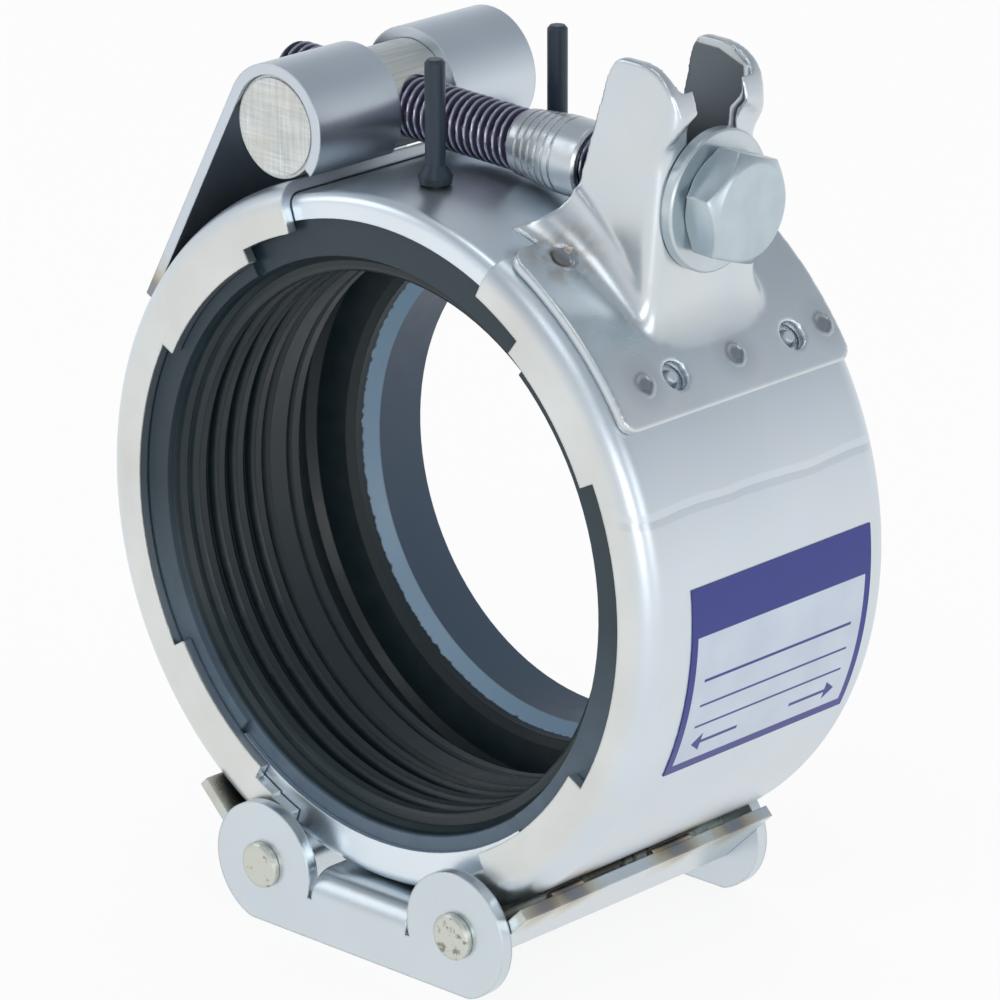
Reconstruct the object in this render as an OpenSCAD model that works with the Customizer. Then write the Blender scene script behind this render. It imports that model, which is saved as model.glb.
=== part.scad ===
// Two-piece pipe socket coupling: pressed casing halves on a double hinge, closed by one
// clamp bolt over a ribbed rubber sleeve that joins a threaded fitting to a plain pipe.
// Origin on the pipe axis at mid width. X points to the bolt head, Y to the pipe side, Z up.

/* [Casing] */
// outer radius of the closed casing
casing_r = 58; // [40:0.5:90]
// casing width along the pipe
casing_w = 55.6; // [40:0.2:90]
// sheet thickness of the two halves
casing_t = 1.8; // [0.8:0.1:3]
// outer radius of the rolled edge between wall and flange
edge_roll = 4; // [2.5:0.1:7]
// front flange of the left half: depth of the tabs from the outer surface
left_tab_d = 9.9; // [8:0.1:14]
// front flange of the left half: depth of the cut-outs from the outer surface
left_cut_d = 7.6; // [5:0.1:9]
// front flange of the right half: depth of the tabs from the outer surface
right_tab_d = 9.2; // [7:0.1:14]
// front flange of the right half: depth of the cut-outs from the outer surface
right_cut_d = 6.4; // [5:0.1:9]
// rear flanges: depth of the tabs from the outer surface
rear_tab_d = 14.5; // [10:0.1:17]
// rear flanges: depth of the cut-outs from the outer surface
rear_cut_d = 12.5; // [6:0.1:15]

/* [Half ends, degrees up from +X] */
// upper end of the left half
left_top_end = 108.6; // [95:0.2:125]
// upper end of the right half
right_top_end = 63.4; // [50:0.2:80]
// lower end of each flange, away from straight down
flange_foot = 20; // [14:0.2:28]

/* [Gap plates] */
// sheet thickness of the plates that bridge the gaps
plate_t = 1; // [0.5:0.1:2]
// clearance between the halves and the top plate
plate_gap = 0.2; // [0.1:0.05:0.6]
// extra inset of the bottom plate, which the hinge loops run on
bottom_inset = 1.3; // [0:0.05:2]
// depth of the top plate's front lip from the outer surface of the casing
top_lip_d = 6; // [5:0.1:12]
// depth of the bottom plate's front lip from the outer surface of the casing
bottom_lip_d = 9.8; // [6:0.1:13]
// how far each plate reaches under the halves, degrees
plate_lap = 13; // [6:0.5:24]

/* [Rubber sleeve] */
// depth of the rib crests below the outer surface of the casing
rib_d = 15; // [11:0.1:17]
// depth of the valleys between the ribs
rib_depth = 1.8; // [0.8:0.1:3]
// distance between two ribs
rib_pitch = 4.1; // [3:0.1:6]
// number of round ribs
rib_count = 4; // [2:1:6]
// depth of the front mouth below the outer surface of the casing
mouth_d = 12; // [8:0.1:13]
// depth of the plain bore on the pipe side
bore_d = 18.8; // [14:0.1:22]
// step from the plain bore out to the sealing edge in front of it
lip_step = 1.8; // [0.8:0.1:3]
// depth of the hollow between the two seals
hollow_d = 9.4; // [6:0.1:10]
// radius of the two moulded rubber nipples
nipple_r = 1.6; // [0.8:0.1:3]
// height of the nipple tips above the pipe axis at the modelled size
nipple_rise = 18.6; // [8:0.5:30]
// distance of each nipple from mid width
nipple_y = 13.6; // [8:0.5:20]

/* [Trunnion] */
// radius of the cross bar
bar_r = 8.15; // [5:0.05:12]
// how much shorter the cross bar is than the casing is wide
bar_short = 8.2; // [2:0.2:16]
// angle of the bar round the casing
bar_angle = 110; // [100:0.5:125]
// sheet thickness of the strap round the bar
strap_t = 1.8; // [1:0.1:3]
// angle at which the welded end of the strap lies on the casing
strap_end = 149.8; // [140:0.2:165]
// width of the slot that the bolt passes through
strap_slot = 12.4; // [11:0.2:18]
// running clearance of bars, pins and bolt in their holes
run_gap = 0.06; // [0.02:0.01:0.1]

/* [Bolt] */
// radius of the bolt thread
bolt_r = 4.9; // [3:0.05:8]
// fall of the bolt towards its head, degrees
bolt_tilt = 2.5; // [0:0.5:8]
// how far the thread stands out behind the bar axis
bolt_tail = 19.5; // [12:0.5:40]
// width of the hexagon across its flats
hex_af = 16; // [10:0.5:24]
// height of the hexagon head
hex_h = 6.4; // [4:0.1:10]
// outer radius of the flat washer
washer_r = 11; // [8:0.1:16]
// thickness of the flat washer
washer_t = 1.9; // [1:0.1:3]
// gap between washer and lug before the bolt is tightened
washer_gap = 0.15; // [0.05:0.05:0.5]
// large radius of the grooved retaining collar
collar_r = 6.1; // [5.4:0.1:8]
// length of the retaining collar
collar_len = 14.3; // [6:0.1:18]
// distance from the bar axis to the thin end of the collar
collar_at = 31; // [16:0.5:38]

/* [Lug] */
// sheet thickness of the pressed lug
lug_t = 1.9; // [1:0.1:3]
// angle of the lower edge of the lug base
lug_low = 30.4; // [20:0.2:36]
// angle of the upper edge of the lug base
lug_high = 63; // [50:0.2:70]
// angle at which the bearing wall meets the casing
lug_foot = 43; // [38:0.1:48]
// how far the lug base stays in from each edge of the casing
lug_inset = 2.4; // [0:0.1:8]
// half width of the horns at the casing
wing_foot = 13; // [10:0.1:18]
// half width of the horns at the top
wing_top = 10; // [8:0.1:16]
// height of the horns above the bolt axis
wing_h = 21.3; // [14:0.1:30]
// depth of the horns behind the bearing face
wing_back = 15.6; // [8:0.2:22]
// bend radius between bearing wall and horns
wing_bend = 4.2; // [3:0.1:6]
// outward bulge of the horns above the washer
horn_step = 2; // [0:0.1:4]
// width of the open bolt slot
lug_slot = 10.8; // [10:0.1:16]
// radius of the two round holes in the lug base
pip_hole_r = 2.3; // [1:0.1:3]

/* [Hinge] */
// half distance between the two hinge pins
pin_x = 20.9; // [14:0.1:28]
// radius of the hinge pins
pin_r = 3.25; // [2:0.05:5]
// radius of the riveted pin heads
head_r = 3.75; // [2.4:0.05:6]
// height of the riveted pin heads
head_h = 1.2; // [0.6:0.1:2.5]
// sheet thickness of the hinge leaves
leaf_t = 1.9; // [1:0.1:3]
// how much wider the hinge leaves are than the casing
leaf_over = 1.6; // [1:0.1:6]
// end of the left leaf, away from straight down
left_leaf_end = 37.5; // [28:0.5:48]
// end of the right leaf, away from straight down
right_leaf_end = 33.5; // [28:0.5:48]
// sheet thickness of the link
link_t = 2; // [1:0.1:3.5]
// radius of the link ears
ear_r = 10.2; // [7:0.1:14]
// gap between leaf and link ears on each side
ear_gap = 0.15; // [0.05:0.05:0.5]
// half length of the web between the relief notches
web_x = 10.2; // [6:0.1:16]
// outer bend radius of the link
link_bend = 4.4; // [2.6:0.1:6]

/* [Label] */
// lower edge of the plain label, degrees below +X
label_low = 25.6; // [15:0.2:40]
// upper edge of the plain label, degrees above +X
label_high = 5.8; // [0:0.2:15]
// thickness of the label foil
label_t = 0.15; // [0.1:0.05:0.4]

/* [Hidden] */
$fn = 96;

// contact gap between pieces that are welded or bear on each other
seat = 0.05;
half_w = casing_w / 2;
bar_len = casing_w - bar_short;
lug_w = casing_w - 2 * lug_inset;
leaf_w = casing_w + leaf_over;
label_w = casing_w - 14.6;
flat_r = casing_r - edge_roll;
left_tab_r = casing_r - left_tab_d;
left_cut_r = casing_r - left_cut_d;
right_tab_r = casing_r - right_tab_d;
right_cut_r = casing_r - right_cut_d;
rear_tab_r = casing_r - rear_tab_d;
rear_cut_r = casing_r - rear_cut_d;
roll_y = half_w - edge_roll;
wall_in = casing_r - casing_t;
flange_in = half_w - casing_t;

// gap plates lie inside the halves, and the rubber lies inside both
top_r = wall_in - plate_gap;
bottom_r = top_r - bottom_inset;
plate_y = flange_in - plate_gap;
rubber_y = plate_y - plate_t - seat;
top_lip_r = casing_r - top_lip_d;
bottom_lip_r = casing_r - bottom_lip_d;
rib_r = casing_r - rib_d;
mouth_r = casing_r - mouth_d;
pipe_bore_r = casing_r - bore_d;
lip_r = pipe_bore_r + lip_step;
hollow_r = casing_r - hollow_d;
pad_r = wall_in - plate_gap - seat;
top_from = right_top_end - plate_lap;
top_to = left_top_end + plate_lap;
bottom_half = flange_foot + plate_lap + 5;

// strap loop round the cross bar
bore_bar = bar_r + run_gap;
loop_r = bore_bar + strap_t;
bar_reach = casing_r + bore_bar + 0.25;
bar_x = bar_reach * cos(bar_angle);
bar_z = bar_reach * sin(bar_angle);
strap_half = bar_len / 2 + 0.3;
strap_turn = acos((casing_r + seat - bore_bar) / bar_reach);
near_bar = bar_reach * bar_reach + loop_r * loop_r - (casing_r + 0.15) * (casing_r + 0.15);
loop_end = bar_angle + 180 + acos(near_bar / (2 * bar_reach * loop_r));

// bolt frame: distance along the bolt from the bar, and the bearing face of the lug
foot_x = (casing_r + lug_t) * cos(lug_foot);
foot_z = (casing_r + lug_t) * sin(lug_foot);
reach = (foot_x - bar_x) * cos(bolt_tilt) - (foot_z - bar_z) * sin(bolt_tilt);
face_x = bar_x + reach * cos(bolt_tilt);
face_z = bar_z - reach * sin(bolt_tilt);
axis_x = -(face_x * cos(bolt_tilt) - face_z * sin(bolt_tilt));
axis_z = -(face_x * sin(bolt_tilt) + face_z * cos(bolt_tilt));

// hinge pins: the loops of the leaves just clear the bottom plate
pin_bore = pin_r + run_gap;
knuckle_r = pin_bore + leaf_t;
pin_reach = bottom_r + plate_gap + knuckle_r;
pin_z = -sqrt(pin_reach * pin_reach - pin_x * pin_x);
pin_dir = atan2(pin_x, -pin_z);
leaf_turn = acos((casing_r + seat - pin_bore) / pin_reach);
near_pin = casing_r * casing_r + pin_reach * pin_reach - (knuckle_r + 0.15) * (knuckle_r + 0.15);
wall_foot = pin_dir + acos(near_pin / (2 * casing_r * pin_reach));
ear_in = leaf_w / 2 + ear_gap;
ear_out = ear_in + link_t;
web_top = -(bottom_r + 0.3);
link_low = pin_z - ear_r + 0.4;

// extrudes a drawing of the X-Z plane along Y, centred on mid width
module across(len) {
    translate([0, len / 2, 0]) rotate([90, 0, 0]) linear_extrude(len) children();
}

// turns a drawing (radius, Y) round the pipe axis from angle a to angle b
module sweep(a, b) {
    rotate([-90, 0, 0]) rotate([0, 0, -b]) rotate_extrude(angle = b - a) children();
}

// carries pieces into the frame of the bolt, X along it towards the head
module on_bolt(at = 0) {
    translate([bar_x, 0, bar_z]) rotate([0, bolt_tilt, 0]) translate([at, 0, 0]) children();
}

// quarter of a rolled edge, outer radius r and sheet t
module roll(r, t) {
    intersection() {
        difference() {
            circle(r);
            circle(r - t);
        }
        square(r);
    }
}

// wall and two rolled edges of a pressed band, up to the flat flanges
module band(outer, t, corner, y_out, lip_front, lip_rear) {
    translate([outer - t, -(y_out - corner)]) square([t, 2 * (y_out - corner)]);
    translate([outer - corner, y_out - corner]) roll(corner, t);
    translate([outer - corner, -(y_out - corner)]) mirror([0, 1]) roll(corner, t);
    translate([lip_front, -y_out]) square([outer - corner - lip_front, t]);
    translate([lip_rear, y_out - t]) square([outer - corner - lip_rear, t]);
}

// one tab that stands inwards from a flange
module tab(a, b, inner, base, y) {
    sweep(a, b) translate([inner, y]) square([base - inner + 0.4, casing_t]);
}

// pressed half, angles from a (upper end) to b (lower end of its wall)
module half_shell(a, b, cut_r) {
    sweep(min(a, b), max(a, b)) band(casing_r, casing_t, edge_roll, half_w, cut_r, rear_cut_r);
}

// flange tongues that run on past the wall, inside the hinge loops
module tongues(a, b, tab_r) {
    sweep(a, b) {
        translate([tab_r + 0.3, -half_w]) square([flat_r - 0.4 - tab_r, casing_t]);
        translate([rear_cut_r - 0.5, flange_in]) square([flat_r + 0.4 - rear_cut_r, casing_t]);
    }
}

module casing_left() {
    color([0.78, 0.80, 0.83]) {
        half_shell(left_top_end, 270 - wall_foot, left_cut_r);
        tongues(268 - wall_foot, 270 - flange_foot, left_cut_r);
        tab(121, 151.5, left_tab_r, left_cut_r, -half_w);
        tab(211, 240, left_tab_r, left_cut_r, -half_w);
        tab(121, 151.5, rear_tab_r, rear_cut_r, flange_in);
        tab(211, 240, rear_tab_r, rear_cut_r, flange_in);
    }
}

module casing_right() {
    color([0.78, 0.80, 0.83]) {
        half_shell(right_top_end, wall_foot - 90, right_cut_r);
        tongues(flange_foot - 88, wall_foot - 88, right_cut_r);
        tab(25.5, 52.5, right_tab_r, right_cut_r, -half_w);
        tab(-62, -31, right_tab_r, right_cut_r, -half_w);
        tab(25.5, 52.5, rear_tab_r, rear_cut_r, flange_in);
        tab(-62, -31, rear_tab_r, rear_cut_r, flange_in);
        // two raised pips that locate the lug base
        for (y = [-11.3, 15.2]) at_pip(y) cylinder(h = 2.2, r1 = 2, r2 = 0.9);
    }
}

// place of a locating pip, its axis pointing straight out of the casing
module at_pip(y) {
    translate([0, y, 0]) rotate([0, 53.6, 0]) translate([0, 0, casing_r - 1]) children();
}

// thin pressed plate that bridges the gap at the top, with two nipple holes
module top_gap_plate() {
    color([0.72, 0.74, 0.77]) difference() {
        sweep(top_from, top_to)
            band(top_r, plate_t, edge_roll - casing_t - plate_gap, plate_y, top_lip_r, rear_cut_r);
        for (y = [-nipple_y, nipple_y])
            translate([1.5, y, top_r - 6]) cylinder(h = 12, r = nipple_r + 0.05);
    }
}

module bottom_gap_plate() {
    color([0.72, 0.74, 0.77])
        sweep(-90 - bottom_half, -90 + bottom_half)
            band(bottom_r, plate_t, edge_roll - casing_t - plate_gap, plate_y, bottom_lip_r,
                 rear_cut_r);
}

// section of the sleeve: ribs in front, hollow in the middle, plain bore behind
module sleeve_section(outer, y_end) {
    rib_0 = -half_w + 6.8;
    rib_n = rib_0 + (rib_count - 1) * rib_pitch;
    difference() {
        // its outer corners are cut off, to lie inside the rolled edges of the bottom plate
        polygon([[pipe_bore_r, -y_end], [outer - 0.9, -y_end], [outer, -y_end + 0.9],
                 [outer, y_end - 0.9], [outer - 0.9, y_end], [pipe_bore_r, y_end]]);
        // front mouth, the valleys between the ribs and a groove that sets off the sealing rim
        polygon([[pipe_bore_r - 1, -y_end - 1], [mouth_r + 0.9, -y_end - 1], [mouth_r, -y_end],
                 [mouth_r - 0.5, -y_end + 1.2], [rib_r + rib_depth, rib_0 - 1.6],
                 [rib_r + rib_depth, rib_n + 1.4], [rib_r, rib_n + 2.6], [rib_r, -2.4],
                 [rib_r + 0.7, -2.1], [rib_r + 0.7, -1.6], [rib_r, -1.2], [pipe_bore_r - 1, -1.2]]);
        polygon([[pipe_bore_r - 1, -1.3], [rib_r, -1.3], [rib_r, 0.5], [hollow_r - 1.2, 1],
                 [hollow_r, 2.4], [hollow_r, 7.6], [hollow_r - 1.2, 9], [lip_r + 1.4, 10.6],
                 [lip_r, 11.4], [lip_r, 13.2], [pipe_bore_r, 15.2], [pipe_bore_r - 1, 15.2]]);
    }
    for (i = [0:rib_count - 1]) hull_rib(rib_0 + i * rib_pitch);
}

// one rib: round crest with a short flat land, on a broad foot
module hull_rib(y) {
    translate([rib_r + 1.1, y]) difference() {
        circle(r = 1.3, $fn = 32);
        translate([-3, -2]) square([1.9, 4]);
    }
    translate([rib_r + 0.9, y - 1.3]) square([rib_depth, 2.6]);
}

module rubber_sleeve() {
    color([0.13, 0.15, 0.17]) {
        sweep(0, 360) sleeve_section(bottom_r - plate_t - seat, rubber_y);
        // thicker fields that fill the halves between the gap plates
        sweep(top_to + 1, 269 - bottom_half) pad_section();
        sweep(bottom_half - 89, top_from - 1) pad_section();
        // two nipples moulded on, with a bulb that holds the top plate
        for (y = [-nipple_y, nipple_y]) translate([1.5, y, 0]) {
            translate([0, 0, top_r - 4]) cylinder(h = nipple_rise + 4.5, r = nipple_r);
            translate([0, 0, top_r + 0.3]) cylinder(h = 1.2, r1 = nipple_r + 0.9, r2 = nipple_r + 1.1);
            translate([0, 0, top_r + 1.5]) cylinder(h = 1.6, r1 = nipple_r + 1.1, r2 = nipple_r);
            translate([0, 0, top_r + nipple_rise + 0.5])
                cylinder(h = 0.5, r1 = nipple_r, r2 = nipple_r - 0.4);
        }
    }
}

// rubber outside the sleeve section, under a casing half
module pad_section() {
    inner = bottom_r - plate_t - seat - 1;
    end = flange_in - plate_gap;
    translate([inner, -end + edge_roll - casing_t])
        square([pad_r - inner, 2 * (end - edge_roll + casing_t)]);
    translate([mouth_r, -end]) square([flat_r - mouth_r, 2]);
    translate([lip_r, end - 2]) square([flat_r - lip_r, 2]);
    for (s = [-1, 1]) translate([flat_r - 0.01, s * roll_y])
        intersection() {
            circle(edge_roll - casing_t - plate_gap);
            translate([-0.1, s > 0 ? 0 : -4]) square([4, 4]);
        }
    translate([inner, -end + 1]) square([flat_r - inner, 2 * end - 2]);
}

// strap drawn in the X-Z plane: loop round the bar and straight leg down to the casing
module strap_outline() {
    lean = bar_angle + strap_turn;
    leg = bar_reach * sin(strap_turn) - (casing_r + seat) * tan(lean - strap_end);
    translate([bar_x, bar_z]) {
        difference() {
            circle(loop_r);
            circle(bore_bar);
            // open underside between the leg and the end that stands on the casing
            polygon([[0, 0], for (a = [0, 45, 90, 135]) 30 * [cos(lean + a), sin(lean + a)],
                     30 * [cos(loop_end), sin(loop_end)]]);
        }
        rotate(lean) translate([bore_bar + 0.02, -0.5]) square([strap_t - 0.04, leg + 0.5]);
    }
}

module trunnion_strap() {
    slot_low = bar_angle - 158;
    color([0.76, 0.78, 0.80]) difference() {
        across(2 * strap_half) strap_outline();
        // slot through the loop, closed by a strip at its end and by the leg below
        across(strap_slot) translate([bar_x, bar_z])
            polygon([[0, 0], 20 * [cos(slot_low), sin(slot_low)], [20, 0], [20, 20], [-14, 20],
                     [-20, -9.5], [-9, -9.5]]);
    }
}

// cross bar with the threaded hole that takes the bolt
module trunnion_bar() {
    color([0.80, 0.80, 0.78]) difference() {
        translate([bar_x, 0, bar_z]) rotate([90, 0, 0]) union() {
            cylinder(h = bar_len - 1, r = bar_r, center = true);
            cylinder(h = bar_len, r = bar_r - 0.5, center = true);
        }
        on_bolt() rotate([0, 90, 0])
            cylinder(h = 4 * bar_r, r = bolt_r + run_gap, center = true);
    }
}

// hexagon head bolt, plain at the pitch of its fine thread
module clamp_bolt() {
    head_at = reach + washer_gap + washer_t + seat;
    color([0.70, 0.71, 0.72]) on_bolt() rotate([0, 90, 0]) {
        translate([0, 0, 0.8 - bolt_tail]) cylinder(h = head_at + bolt_tail, r = bolt_r);
        translate([0, 0, -bolt_tail]) cylinder(h = 0.8, r1 = bolt_r - 0.7, r2 = bolt_r);
        translate([0, 0, head_at]) intersection() {
            rotate(12) cylinder(h = hex_h, r = hex_af / sqrt(3), $fn = 6);
            union() {
                cylinder(h = hex_h - 1.5, r = hex_af);
                translate([0, 0, hex_h - 1.5])
                    cylinder(h = 1.5, r1 = hex_af / sqrt(3) + 0.4, r2 = hex_af / 2 - 0.6);
            }
        }
    }
}

// grooved collar fixed on the bolt, which pushes the lug back when the bolt is undone
module retaining_collar() {
    taper = collar_len * 0.55;
    color([0.82, 0.83, 0.82]) on_bolt(collar_at) rotate([0, 90, 0]) difference() {
        union() {
            cylinder(h = taper, r1 = bolt_r + 0.35, r2 = collar_r);
            translate([0, 0, taper]) cylinder(h = collar_len - taper - 0.5, r = collar_r);
            translate([0, 0, collar_len - 0.5])
                cylinder(h = 0.5, r1 = collar_r, r2 = collar_r - 0.4);
        }
        translate([0, 0, -1]) cylinder(h = collar_len + 2, r = bolt_r + 0.02);
        for (i = [0:5]) translate([0, 0, 1.6 + i * 1.5]) difference() {
            cylinder(h = 0.4, r = collar_r + 1);
            translate([0, 0, -1]) cylinder(h = 3, r = collar_groove_r(1.6 + i * 1.5, taper));
        }
    }
}

// bottom radius of a collar groove at distance d from the thin end
function collar_groove_r(d, taper) =
    bolt_r + 0.35 + (collar_r - bolt_r - 0.35) * min(1, d / taper) - 0.22;

module flat_washer() {
    color([0.83, 0.84, 0.84]) on_bolt(reach + washer_gap) rotate([0, 90, 0]) difference() {
        union() {
            cylinder(h = washer_t - 0.3, r = washer_r);
            translate([0, 0, washer_t - 0.3]) cylinder(h = 0.3, r1 = washer_r, r2 = washer_r - 0.3);
        }
        translate([0, 0, -1]) cylinder(h = washer_t + 2, r = bolt_r + run_gap);
    }
}

// height of the casing surface of radius r at place x in the frame of the lug
function casing_top(x, r) = axis_z + sqrt(max(1, r * r - (x - axis_x) * (x - axis_x)));

// forward bulge of the horns above the washer
function step_at(z) =
    let (s = max(0, min(1, (z - washer_r - 0.9) / 4))) horn_step * s * s * (3 - 2 * s);

// plan of the pressed wall, inset by o from its outside: place, outward normal, flare
function plan(w, o) = concat(
    [for (i = [0:3]) [[-24 + (24 - wing_bend) * i / 3, o - w], [0, -1], 4.2 - 0.5 * i]],
    [for (i = [1:5]) let (a = -90 + 18 * i)
        [[-wing_bend + (wing_bend - o) * cos(a), -(w - wing_bend) + (wing_bend - o) * sin(a)],
         [cos(a), sin(a)], 2.2 - 0.1 * i]],
    [for (i = [1:7]) [[-o, (w - wing_bend) * (-1 + i / 4)], [1, 0], 1.9 + 0.3 * (i < 5 ? i : 8 - i)]],
    [for (i = [0:5]) let (a = 18 * i)
        [[-wing_bend + (wing_bend - o) * cos(a), (w - wing_bend) + (wing_bend - o) * sin(a)],
         [cos(a), sin(a)], 1.7 + 0.1 * i]],
    [for (i = [1:3]) [[-wing_bend - (24 - wing_bend) * i / 3, w - o], [0, 1], 2.7 + 0.5 * i]]);

// half width of the horns at height z
function wing_w(z, low) = wing_foot + (wing_top - wing_foot) * (z - low) / (wing_h - low);

// point of the pressed wall at station j and level k, inset by o
flare_h = 8;
level = [0, 0.07, 0.15, 0.25, 0.4, 0.6, 1];
high = [-3, 4, 11.6, 12.7, 13.7, 14.7, 15.9, 18.4, wing_h + 1.5];
function wall_point(j, k, o) =
    let (low = casing_top(0, casing_r),
         z_guess = k < 7 ? low + level[k] * flare_h : high[k - 7],
         st = plan(wing_w(z_guess, low), o)[j],
         f = k < 7 ? st[2] * pow(1 - level[k], 2.2) : 0,
         x = st[0][0] + st[1][0] * f,
         y = st[0][1] + st[1][1] * f,
         base = casing_top(x, casing_r + lug_t * 0.4),
         z = k < 7 ? base + level[k] * flare_h : max(base + flare_h + (k - 6) * 0.2, high[k - 7]))
    [x + (x > -wing_bend - 0.1 ? step_at(z) : 0), y, z];

// curved sheet made of an outer and an inner skin
module pressed_wall() {
    nj = 25;
    nk = 16;
    function id(s, j, k) = s * nj * nk + k * nj + j;
    pts = concat([for (k = [0:nk - 1]) for (j = [0:nj - 1]) wall_point(j, k, 0)],
                 [for (k = [0:nk - 1]) for (j = [0:nj - 1]) wall_point(j, k, lug_t)]);
    faces = concat(
        [for (k = [0:nk - 2]) for (j = [0:nj - 2]) each [
            [id(0, j, k), id(0, j, k + 1), id(0, j + 1, k + 1)],
            [id(0, j, k), id(0, j + 1, k + 1), id(0, j + 1, k)],
            [id(1, j, k), id(1, j + 1, k + 1), id(1, j, k + 1)],
            [id(1, j, k), id(1, j + 1, k), id(1, j + 1, k + 1)]]],
        [for (j = [0:nj - 2]) each [
            [id(0, j, 0), id(0, j + 1, 0), id(1, j + 1, 0)], [id(0, j, 0), id(1, j + 1, 0), id(1, j, 0)],
            [id(0, j, nk - 1), id(1, j + 1, nk - 1), id(0, j + 1, nk - 1)],
            [id(0, j, nk - 1), id(1, j, nk - 1), id(1, j + 1, nk - 1)]]],
        [for (k = [0:nk - 2]) each [
            [id(0, 0, k), id(1, 0, k), id(1, 0, k + 1)], [id(0, 0, k), id(1, 0, k + 1), id(0, 0, k + 1)],
            [id(0, nj - 1, k), id(1, nj - 1, k + 1), id(1, nj - 1, k)],
            [id(0, nj - 1, k), id(0, nj - 1, k + 1), id(1, nj - 1, k + 1)]]]);
    polyhedron(points = pts, faces = faces, convexity = 6);
}

// point on a curve that starts at a, is drawn towards b and ends at c
function bow(a, b, c, n) =
    [for (i = [0:n]) let (t = i / n) a * (1 - t) * (1 - t) + b * 2 * t * (1 - t) + c * t * t];

// side view of the horns, with a sweeping back edge and a top that slopes down to the front
module horn_profile() {
    base = casing_top(-21, casing_r);
    polygon(concat(
        [[20, -70], [-24, -70], [-24, base + 0.5]],
        bow([-23, base + 1], [-wing_back - 0.5, base + 4], [-wing_back, 3], 8),
        bow([-wing_back + 3.2, wing_h - 4], [-wing_back + 4, wing_h + 0.3], [-wing_back + 7, wing_h], 6),
        bow([-3, wing_h - 0.3], [horn_step + 0.2, wing_h - 1.6], [horn_step + 0.6, wing_h - 6], 6),
        [[20, wing_h - 9]]));
}

// lug base on the casing with its holes and the opening under the horns
module lug_base() {
    difference() {
        sweep(lug_low, lug_high)
            translate([casing_r + seat, -lug_w / 2]) square([lug_t, lug_w]);
        for (y = [-11.3, 15.2]) at_pip(y)
            translate([0, 0, -2]) cylinder(h = 9, r = pip_hole_r);
        for (s = [-1, 1]) {
            corner_cut(lug_low + 2.4, s, -1);
            corner_cut(lug_high - 3.4, s, 1);
        }
        translate([face_x, 0, face_z]) rotate([0, bolt_tilt, 0])
            translate([-40 - lug_t, -(wing_foot - lug_t), -60])
                cube([40, 2 * (wing_foot - lug_t), 70]);
    }
}

// rounds one corner of the lug base, side s along Y, end e along the turn
module corner_cut(a, s, e) {
    r = e > 0 ? 3.4 : 2.4;
    rotate([0, 90 - a, 0]) translate([0, s * (lug_w / 2 - r), casing_r - 3])
        difference() {
            translate([e > 0 ? -r - 3 : 0, s > 0 ? 0 : -r - 3, 0]) cube([r + 3, r + 3, 9]);
            translate([0, 0, -1]) cylinder(h = 12, r = r);
        }
}

module bolt_lug() {
    color([0.79, 0.81, 0.84]) {
        lug_base();
        difference() {
            translate([face_x, 0, face_z]) rotate([0, bolt_tilt, 0]) intersection() {
                pressed_wall();
                across(2 * lug_w) horn_profile();
            }
            // open slot for the bolt
            translate([face_x, 0, face_z]) rotate([0, bolt_tilt, 0]) {
                translate([-12, 0, 0]) rotate([0, 90, 0]) cylinder(h = 24, r = lug_slot / 2);
                translate([-12, -lug_slot / 2, 0]) cube([24, lug_slot, 50]);
            }
            across(2 * lug_w) circle(r = casing_r + seat);
        }
    }
}

// hinge leaf of the left half in the X-Z plane: knuckle round the pin and leg on the casing
module leaf_outline(end) {
    lean = 270 - pin_dir - leaf_turn;
    leg = pin_reach * sin(leaf_turn) - (casing_r + seat) * tan(270 - end - lean);
    translate([-pin_x, pin_z]) {
        difference() {
            circle(knuckle_r);
            circle(pin_bore);
            polygon([[0, 0], 20 * [cos(126), sin(126)], 20 * [cos(165), sin(165)],
                     20 * [cos(lean), sin(lean)]]);
        }
        rotate(lean) translate([pin_bore, -leg]) square([leaf_t, leg + 0.4]);
    }
}

// two short weld beads that tie the end of a leaf to the casing
module leaf_beads(end) {
    gap_r = (casing_r + seat) / cos(270 - end - (270 - pin_dir - leaf_turn));
    for (p = [[-17, 7], [7, 9]]) translate([0, p[0], 0]) difference() {
        rotate([0, 90 - (270 - end) - 0.6, 0]) translate([-0.9, 0, gap_r])
            rotate([90, 0, 0]) cylinder(h = p[1], r = 0.85, center = true, $fn = 24);
        rotate([90, 0, 0]) cylinder(h = 2 * p[1], r = casing_r + seat / 2, center = true);
    }
}

module hinge_leaf(end) {
    across(leaf_w) leaf_outline(end);
    leaf_beads(end);
}

module hinge_leaf_left() {
    color([0.74, 0.76, 0.79]) hinge_leaf(left_leaf_end);
}

module hinge_leaf_right() {
    color([0.74, 0.76, 0.79]) mirror([1, 0, 0]) hinge_leaf(right_leaf_end);
}

// pressed channel link: two eared side plates joined by a web under the casing
module hinge_link() {
    color([0.77, 0.79, 0.81]) difference() {
        union() {
            for (s = [-1, 1]) translate([0, s * (ear_in + link_t / 2), 0]) across(link_t) {
                for (x = [-pin_x, pin_x]) translate([x, pin_z]) circle(ear_r);
                translate([-pin_x, link_low]) square([2 * pin_x, web_top - link_bend - link_low]);
            }
            translate([-web_x, 0, 0]) rotate([90, 0, 90]) linear_extrude(2 * web_x) channel_section();
        }
        for (x = [-pin_x, pin_x]) translate([x, 0, pin_z]) rotate([90, 0, 0])
            cylinder(h = 4 * ear_out, r = pin_bore, center = true);
        // flat bottom edge across the ears
        translate([-60, -60, link_low - 20]) cube([120, 120, 20]);
    }
}

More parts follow.
